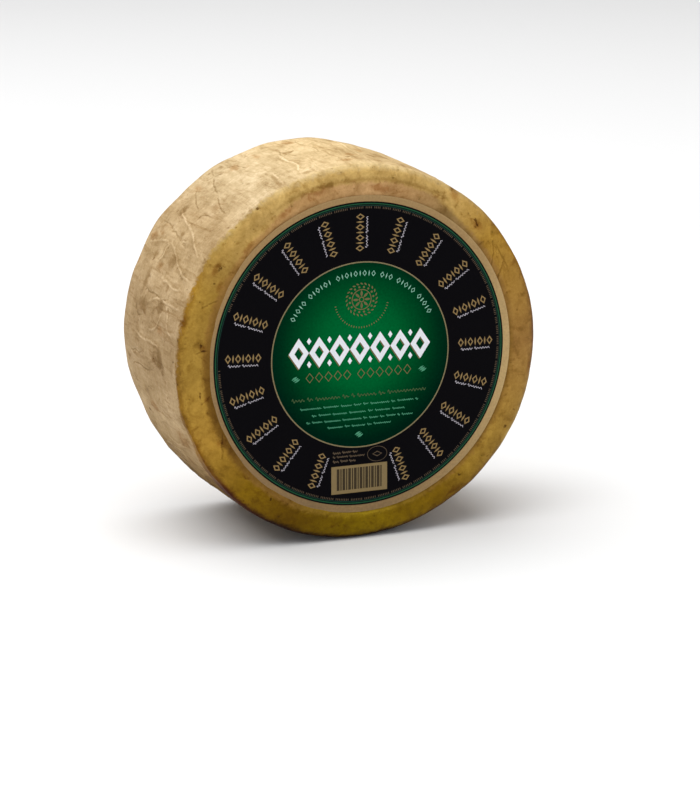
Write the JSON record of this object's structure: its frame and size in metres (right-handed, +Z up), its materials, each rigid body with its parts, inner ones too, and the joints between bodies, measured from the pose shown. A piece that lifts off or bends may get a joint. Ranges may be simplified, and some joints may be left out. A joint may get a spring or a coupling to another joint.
{
  "type": "cheese wheel",
  "caption": "Whole cured cheese wheel with a cloth-pressed rind and a round printed label on one face, standing on a small flat on its rim.",
  "frame": {"origin": "middle of the small flat on the rim that the wheel stands on", "axes": "+Z up, +Y along the wheel's axis from the labelled front face to the bare back face, +X to the right when the label is looked at"},
  "size_m": [0.2, 0.0954, 0.1992],
  "materials": {
    "rind": "dry, waxy pressed cheese rind, pale on the side and ochre on the rounded edge and faces",
    "label": "coated printed paper with a satin sheen: black ring, green centre, gold and white ornaments, tan margin"
  },
  "bodies": {
    "root": {"cheese_wheel": "rind", "face_label": "label"}
  },
  "joints": []
}
